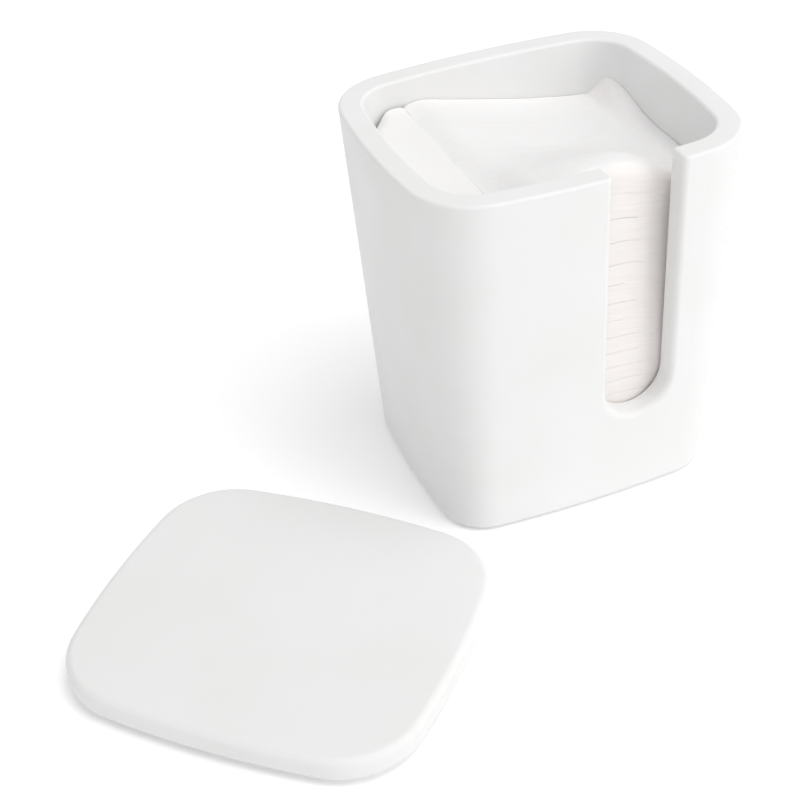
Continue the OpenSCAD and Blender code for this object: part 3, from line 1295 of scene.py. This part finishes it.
    def build(self, finish: bpy.types.Material) -> bpy.types.Object:
        """Build and dress the sponge.

        Args:
            finish: Material of the sponge.

        Returns:
            The finished piece.
        """
        piece = loft("makeup_sponge_foam", self.rings())
        finish_mesh(piece, crease=80)
        register(piece, Body.SPONGE.value, RecordSlot.SPONGE, "makeup_sponge", finish)
        return piece


@dataclass(frozen=True)
class RoomPlan:
    """Room of the pads, seen from above: the inside of the box to the right of the sponge.

    Attributes:
        walls: Outline of the outside of the box.
        inset: Distance from that outline to the edge of the pads.
        left: Place of their left edge.
        corner: Corner radius at their left edge.
    """

    walls: BowedPlan
    inset: float
    left: float
    corner: float

    def ring(self, inset: float, stations: Stations) -> np.ndarray:
        """Return the outline of the room drawn in by inset, anticlockwise from the left end of the front.

        Args:
            inset: Distance that the outline is drawn in by.
            stations: Steps along each part.

        Returns:
            Points of the outline, one row each.
        """
        turn_x = self.left + self.corner
        kept = self.walls.ring(self.inset, stations)[:, 0] > turn_x + self.corner / 2
        far = self.walls.ring(self.inset + inset, stations)[kept]
        radius = self.corner - inset
        end_y = -self.walls.front_y(turn_x, self.inset + inset) - radius
        angles = np.linspace(math.pi / 2, math.pi, stations.corner + 1)
        arc = np.column_stack([turn_x + radius * np.cos(angles), end_y + radius * np.sin(angles)])
        along = np.linspace(end_y, -end_y, stations.side + 1)[1:-1]
        side = np.column_stack([np.full(len(along), self.left + inset), along])
        return np.vstack([far, arc, side, (arc * (1, -1))[::-1]])


@dataclass
class PadStack:
    """The stack of cotton pads, pressed into the box, full at its front and slumped to its far corner.

    Attributes:
        box: Box that holds the stack.
        count: Number of pads.
        floor: Height of the floor of the box above the table.
        top_loft: Thickness of the top pad as a multiple of the bottom one.
        loft_power: Power that keeps the extra thickness near the top.
        sponge_face: Place of the right face of the sponge.
        sponge_top: Height to which the left edge of the top pad comes down beside the sponge.
        shoulder: Places across between which it comes down.
        front: Height of the stack at its front, at the crest.
        crest: Place of the crest across the front.
        left_fall: How fast the front falls to the left of the crest, per millimetre squared.
        right_fall: Most that the front falls to the right of the crest, and the distance that it takes.
        back_left: Height of the stack at its back left corner.
        back_right: Height of the stack at its back right corner.
        across: Distance over which the back falls from left to right.
        across_power: Power that brings this fall near the left edge.
        slump: Places from front to back between which the stack falls from its front to its back height.
        slow: Slow unevenness of the seams.
        quick: Quick unevenness of the seams.
        calm: Shares of the stack's height between which this unevenness sets in.
        lump: Large lumps of the top face.
        small_lump: Small lumps of the top face.
        crease: Creases of the top face.
        crease_slant: How far a crease moves to the left for each millimetre to the back.
        left_soft: Share of the lumps and creases that the left of the top face has.
        soft_across: Places across between which this share grows to the whole.
        edge_calm: Share of the lumps and creases that the edge of the top face loses.
        calm_power: Power that keeps this loss near the edge.
        gap: Free gap between two pads.
        room: Free gap between the pads and the walls.
        corner: Radius of the left corners of a pad.
        roll: How far the edge of a pressed pad rolls in.
        top_roll: How far the upper front edge of the loose top pad rolls in.
        edge_share: Share of that roll at its other edges.
        roll_along: Places from front to back between which the roll grows to the whole.
        roll_across: Places across between which it grows.
        curl: How far the back right corner of the top pad curls up.
        curl_across: Places across between which the curl rises.
        curl_along: Places from front to back between which the curl rises.
        bulge: How far the front edges stand forward into the slot.
        bulge_power: Power that keeps this bulge near the edge.
        fray: Fraying of the front edges.
        fine_fray: Fine fraying of the front edges.
        recess: How far the top pad's front lies behind the wall at the left, and how much more at the right.
        recess_across: Places across between which it grows.
        front_zone: Places from front to back between which recess, bulge and fraying set in.
        follows_wall: Place across from which a pad follows the lean of the right wall.
        under_rings: Shares of the way from the middle to the edge at which the underside has rings.
        face_span: Shares between which the rings of the upper face lie.
        face_rings: Rings of points on the upper face of a pressed pad, and of the top pad.
        edge_rings: Rings of points round the edge of a pressed pad, and of the top pad.
    """

    box: CastBox
    count: int = 18
    floor: float = 6.0
    top_loft: float = 1.95
    loft_power: float = 2.2
    sponge_face: float = -22.7
    sponge_top: float = 91.35
    shoulder: Pair = (-13.0, -22.5)
    front: float = 96.0
    crest: float = 4.0
    left_fall: float = 0.0052
    right_fall: Pair = (14.0, 22.5)
    back_left: float = 93.6
    back_right: float = 83.4
    across: float = 52.0
    across_power: float = 1.6
    slump: Pair = (-27.0, 4.0)
    slow: Ripple = Ripple(0.22, 13.0, 16.0, 3.7)
    quick: Ripple = Ripple(0.06, 4.0, 6.0, 5.3)
    calm: Pair = (0.0, 0.2)
    lump: Ripple = Ripple(0.4, 18.0, 11.0, 1.3)
    small_lump: Ripple = Ripple(0.15, 8.0, 4.0, 8.1)
    crease: Ripple = Ripple(0.25, 16.0, 5.0, 2.9)
    crease_slant: float = 16 / 30
    left_soft: float = 0.35
    soft_across: Pair = (-5.0, 20.0)
    edge_calm: float = 0.6
    calm_power: int = 4
    gap: float = 0.002
    room: float = 0.04
    corner: float = 1.6
    roll: float = 0.05
    top_roll: float = 3.0
    edge_share: float = 0.03
    roll_along: Pair = (-16.0, -26.0)
    roll_across: Pair = (-19.0, -12.0)
    curl: float = 5.3
    curl_across: Pair = (28.0, 33.0)
    curl_along: Pair = (4.0, 30.0)
    bulge: float = 0.2
    bulge_power: int = 8
    fray: Ripple = Ripple(0.04, 6.0, 1 / 4.1, 1.0)
    fine_fray: Ripple = Ripple(0.02, 2.0, 1 / 9.7, 1.0)
    recess: Pair = (1.4, 1.3)
    recess_across: Pair = (4.0, 22.0)
    front_zone: Pair = (-14.0, -26.0)
    follows_wall: float = 20.0
    under_rings: tuple[float, ...] = (0.06, 0.35, 0.7)
    face_span: Pair = (0.97, 0.05)
    face_rings: tuple[int, int] = (7, 20)
    edge_rings: tuple[int, int] = (9, 17)

    def layer(self, k: int) -> float:
        """Find where the underside of a pad lies.

        Args:
            k: Number of the pad, from 1 at the bottom.

        Returns:
            Share of the stack's height.
        """
        heights = [(i + 0.5) / self.count for i in range(self.count)]
        shares = [1 + (self.top_loft - 1) * height ** self.loft_power for height in heights]
        return sum(shares[:k - 1]) / sum(shares)

    def top(self, x: float, y: float) -> float:
        """Find the height of the top of the stack at a place.

        Args:
            x: Place across.
            y: Place front to back.

        Returns:
            Height above the table.
        """
        away = x - self.crest
        most, reach = self.right_fall
        fall = self.left_fall * away ** 2 if away < 0 else most * (1 - math.exp(-((away / reach) ** 2)))
        share = min((x - self.sponge_face) / self.across, 1.0)
        back = between(self.back_left, self.back_right, 1 - (1 - share) ** self.across_power)
        return between(self.front - fall, back, smooth_step(*self.slump, y))

    def seam(self, k: int, x: float, y: float) -> float:
        """Return the height of the seam under pad k, with the small unevenness of soft layers.

        Args:
            k: Number of the pad that lies on the seam.
            x: Place across.
            y: Place front to back.

        Returns:
            Height above the table.
        """
        share = self.layer(k)
        wave = self.slow.at(x, y, k) + self.quick.at(x, y, k)
        return self.floor + share * (self.top(x, y) - self.floor) + smooth_step(*self.calm, share) * wave

    def in_slot(self, x: float) -> float:
        """Return 1 in the middle of the slot and 0 behind the walls beside it."""
        middle = self.box.slot_middle + self.box.slot_lean / 2
        return smooth_step(self.box.slot_half, self.box.slot_half / 2, abs(x - middle))

    def drawn_back(self, x: float, z: float) -> float:
        """Return how far the front edges lie behind the wall at a place, which has more room at its top."""
        least, more = self.recess
        return (least + more * smooth_step(*self.recess_across, x)) * smooth_step(self.floor, self.front, z)

    def curled(self, x: float, y: float) -> float:
        """Return how far the top pad curls up at a place."""
        return self.curl * smooth_step(*self.curl_across, x) * smooth_step(*self.curl_along, y)

    def top_face(self, x: float, y: float, size: float) -> float:
        """Return how far the face of the top pad stands off the top of the stack.

        Args:
            x: Place across.
            y: Place front to back.
            size: Share of the way from the middle to the edge.

        Returns:
            Rise in millimetres.
        """
        lumps = self.lump.at(x, y) + self.small_lump.at(x, y)
        creases = abs(self.crease.at(x + self.crease_slant * y, y))
        soft = between(self.left_soft, 1.0, smooth_step(*self.soft_across, x))
        soft *= 1 - self.edge_calm * size ** self.calm_power
        drop = max(self.top(x, y) - self.sponge_top, 0.0) * smooth_step(*self.shoulder, x)
        return soft * (lumps - creases) + self.curled(x, y) - drop

    def front_share(self, x: float, y: float) -> float:
        """Return the share of its full roll that the upper edge of the top pad has at a place."""
        grown = smooth_step(*self.roll_along, y) * smooth_step(*self.roll_across, x)
        return between(self.edge_share, 1.0, grown)

    def pad_rings(self, k: int) -> list[np.ndarray]:
        """Return the rings of points of pad k, from the middle of its underside to the middle of its top.

        Args:
            k: Number of the pad, from 1 at the bottom.

        Returns:
            Rings in millimetres.
        """
        top = k == self.count
        level = self.floor + self.layer(k) * (self.back_right - self.floor) - self.box.lift
        stations = Stations(front=80, side=26, back=30, corner=9)
        inset, left = self.box.wall + self.room, self.sponge_face + self.room
        plan = RoomPlan(self.box.plan(level), inset, left, self.corner)
        outline = plan.ring(0.0, stations)
        lower = upper = plan.ring(self.roll, stations)
        if top:
            share = np.array([self.front_share(x, y) for x, y in outline])
            upper = outline + (plan.ring(self.top_roll, stations) - outline) * share[:, None]
        middle = (outline.min(axis=0) + outline.max(axis=0)) / 2
        rows = [(middle + (lower - middle) * size, size, 0.0) for size in self.under_rings]
        for angle in np.linspace(-90, 90, self.edge_rings[top]):
            turn = math.radians(angle)
            inner = lower if angle < 0 else upper
            rows.append((outline + (inner - outline) * (1 - math.cos(turn)), 1.0, (1 + math.sin(turn)) / 2))
        sizes = np.linspace(*self.face_span, self.face_rings[top])
        rows += [(middle + (upper - middle) * size, size, 1.0) for size in sizes]
        return [np.array([self.point(k, p, level, size, up) for p in ring]) for ring, size, up in rows]

    def point(self, k: int, p: np.ndarray, level: float, size: float, up: float) -> Triple:
        """Return one point of a pad.

        Args:
            k: Number of the pad.
            p: Place seen from above, where the box has its width and depth at the level.
            level: That level above the underside of the box.
            size: Share of the way from the middle to the edge.
            up: Share of the way from the underside to the top.

        Returns:
            Place in millimetres.
        """
        x, y = p
        under = self.seam(k, x, y) + self.gap
        over = self.seam(k + 1, x, y) - self.gap
        if k == self.count:
            under += self.curled(x, y)
            over += self.top_face(x, y, size)
        z = between(under, over, up)
        wider, here = self.box.plan(z - self.box.lift), self.box.plan(level)
        x += (wider.width - here.width) / 2 * smooth_step(self.sponge_face, self.follows_wall, x) * size
        y *= 1 + (wider.depth - here.depth) / here.depth * size
        ragged = self.bulge + self.fray.at(x, k, up) + self.fine_fray.at(x, k, up)
        forward = self.in_slot(x) * ragged * size ** self.bulge_power
        y += smooth_step(*self.front_zone, y) * (self.drawn_back(x, z) - forward)
        return x, y, z

    def build(self, finish: bpy.types.Material) -> list[bpy.types.Object]:
        """Build and dress the pads.

        Args:
            finish: Material of the pads.

        Returns:
            The finished pads, from the bottom up.
        """
        pads = []
        for k in range(1, self.count + 1):
            piece = loft(f"pad_{k:02d}_cotton", self.pad_rings(k))
            finish_mesh(piece, crease=80)
            register(piece, f"pad_{k:02d}", RecordSlot.COTTON, f"cotton_pad_{k:02d}", finish)
            pads.append(piece)
        return pads


@dataclass
class Studio:
    """Floor, light and camera.

    Attributes:
        azimuth: Turn of the camera from the front, in degrees, to the right.
        elevation: Height of the camera above the horizon, in degrees.
        roll: Roll of the camera, in degrees.
        distance: Distance from the camera to the middle of the box, along its view.
        focal: Focal length in pixels of the square picture.
        picture: Width of the picture in pixels.
        sensor: Width of the sensor.
        box_middle: Middle of the box.
        box_pixel: Pixel at which the middle of the box shows.
        horizon: Strength of the light from all round near the horizon.
        zenith: Strength of the light from overhead.
        light_rise: Upward parts of a direction between which the one goes over into the other.
        floor_size: Width of the floor, in metres.
        floor_shades: Shade of the floor as the object sees it, and as the camera sees it.
        bounce: Strength of the light that the floor adds to what it throws back.
        camera_lift: The same as the camera sees it, so that the bare floor shows white.
        key_power: Power of the key lamp at the front right, in watts.
        key_place: Place of the key lamp, in metres.
        key_size: Size of the key lamp, in metres.
        top_power: Power of the lamp overhead, in watts.
        top_place: Place of the lamp overhead, in metres.
        top_size: Size of the lamp overhead, in metres.
    """

    azimuth: float = -19.2618
    elevation: float = 36.6465
    roll: float = -4.1376
    distance: float = 410.25
    focal: float = 1585.37
    picture: float = 800.0
    sensor: float = 36.0
    box_middle: Triple = (0.0, 0.0, 43.6)
    box_pixel: Pair = (536.5965, 302.0822)
    horizon: float = 0.93
    zenith: float = 0.52
    light_rise: Pair = (0.05, 0.6)
    floor_size: float = 12.0
    floor_shades: Pair = (0.95, 1.0)
    bounce: float = 0.1
    camera_lift: float = 0.16
    key_power: float = 8.0
    key_place: Triple = (1.07, -1.27, 0.95)
    key_size: float = 1.2
    top_power: float = 11.0
    top_place: Triple = (0.3, -0.4, 1.65)
    top_size: float = 1.2

    def camera(self) -> None:
        """Place the camera so that the box shows where the photograph has it."""
        turn, rise, roll = (math.radians(a) for a in (self.azimuth, self.elevation, self.roll))
        back = Vector((math.sin(turn) * math.cos(rise), -math.cos(turn) * math.cos(rise), math.sin(rise)))
        flat = Vector((0, 0, 1)).cross(back).normalized()
        upright = back.cross(flat)
        right = math.cos(roll) * flat + math.sin(roll) * upright
        up = math.cos(roll) * upright - math.sin(roll) * flat
        per_pixel = self.distance / self.focal
        off_x = (self.box_pixel[0] - self.picture / 2) * per_pixel
        off_y = (self.picture / 2 - self.box_pixel[1]) * per_pixel
        place = (Vector(self.box_middle) + self.distance * back - off_x * right - off_y * up) * MM
        lens = bpy.data.cameras.new("photo_camera")
        lens.sensor_width = self.sensor
        lens.lens = self.focal * self.sensor / self.picture
        lens.clip_start = 0.01
        camera = bpy.data.objects.new("photo_camera", lens)
        axes = Matrix((right, up, back)).transposed().to_4x4()
        camera.matrix_world = Matrix.Translation(place) @ axes
        bpy.context.scene.collection.objects.link(camera)
        bpy.context.scene.camera = camera

    def floor(self) -> None:
        """Lay the pale floor, which shows white and keeps the shadow."""
        bpy.ops.object.select_all(action="DESELECT")
        bpy.ops.mesh.primitive_plane_add(size=self.floor_size)
        floor = bpy.context.object
        floor.name = "studio_floor"
        paint, bench = blank_material("studio_floor")
        coats = []
        for shade, strength in zip(self.floor_shades, (self.bounce, self.camera_lift)):
            matt = bench.add("ShaderNodeBsdfDiffuse", {"Color": (shade, shade, shade, 1.0)})
            glow = bench.add("ShaderNodeEmission", {"Strength": strength})
            coats.append(bench.add("ShaderNodeAddShader", {0: matt.outputs[0], 1: glow.outputs[0]}))
        unseen, seen = (coat.outputs[0] for coat in coats)
        mix = bench.add("ShaderNodeMixShader", {"Fac": self.seen_directly(bench), 1: unseen, 2: seen})
        bench.add("ShaderNodeOutputMaterial", {"Surface": mix.outputs[0]})
        floor.data.materials.append(paint)

    @staticmethod
    def seen_directly(bench: NodeBench) -> bpy.types.NodeSocket:
        """Tell the rays that show a surface from those that only light the object.

        Args:
            bench: Bench of the floor's material or of the world.

        Returns:
            1 for camera, glossy and transmission rays, and 0 for the rest.
        """
        path = bench.add("ShaderNodeLightPath").outputs
        seen = bench.work_out(Arithmetic.MAXIMUM, path["Is Camera Ray"], path["Is Glossy Ray"])
        return bench.work_out(Arithmetic.MAXIMUM, seen, path["Is Transmission Ray"])

    def light(self) -> None:
        """Set the light from all round, brightest near the horizon, the key lamp and the lamp overhead."""
        world = bpy.data.worlds.new("studio")
        world.use_nodes = True
        bench = NodeBench(world.node_tree)
        direction = bench.add("ShaderNodeTexCoord").outputs["Generated"]
        rise = bench.add("ShaderNodeSeparateXYZ", {"Vector": direction}).outputs["Z"]
        strength = bench.mapped(rise, self.light_rise, (self.horizon, self.zenith))
        even = bench.add("ShaderNodeBackground", {"Color": WHITE, "Strength": strength}).outputs[0]
        plain = bench.add("ShaderNodeBackground", {"Color": WHITE, "Strength": 1.0}).outputs[0]
        mix = bench.add("ShaderNodeMixShader", {"Fac": self.seen_directly(bench), 1: even, 2: plain})
        bench.add("ShaderNodeOutputWorld", {"Surface": mix.outputs[0]})
        bpy.context.scene.world = world
        self.lamp("key_lamp", self.key_power, self.key_place, self.key_size)
        self.lamp("top_lamp", self.top_power, self.top_place, self.top_size)

    def lamp(self, name: str, power: float, place: Triple, size: float) -> None:
        """Hang a round soft lamp that points at the box.

        Args:
            name: Name of the lamp.
            power: Power in watts.
            place: Place in metres.
            size: Size across in metres.
        """
        lamp = bpy.data.lights.new(name, "AREA")
        lamp.energy = power
        lamp.shape = "DISK"
        lamp.size = size
        holder = bpy.data.objects.new(name, lamp)
        aim = Vector(self.box_middle) * MM - Vector(place)
        holder.matrix_world = Matrix.Translation(place) @ aim.to_track_quat("-Z", "Y").to_matrix().to_4x4()
        bpy.context.scene.collection.objects.link(holder)

    def build(self) -> None:
        """Build the whole studio."""
        self.camera()
        self.floor()
        self.light()
        bpy.context.scene.view_settings.view_transform = "Standard"


def main() -> None:
    """Build the pieces in order, then the studio."""
    logging.basicConfig(level=logging.INFO, format="%(name)s: %(message)s")
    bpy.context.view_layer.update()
    resin = CastResin().material()
    box = CastBox()
    box.build(resin)
    NonSlipSheet().build(FoamSheet().material())
    LooseLid().build(resin)
    MakeupSponge().build(LatexFoam().material())
    PadStack(box).build(CardedCotton().material())
    Studio().build()


if __name__ == "__main__":
    main()
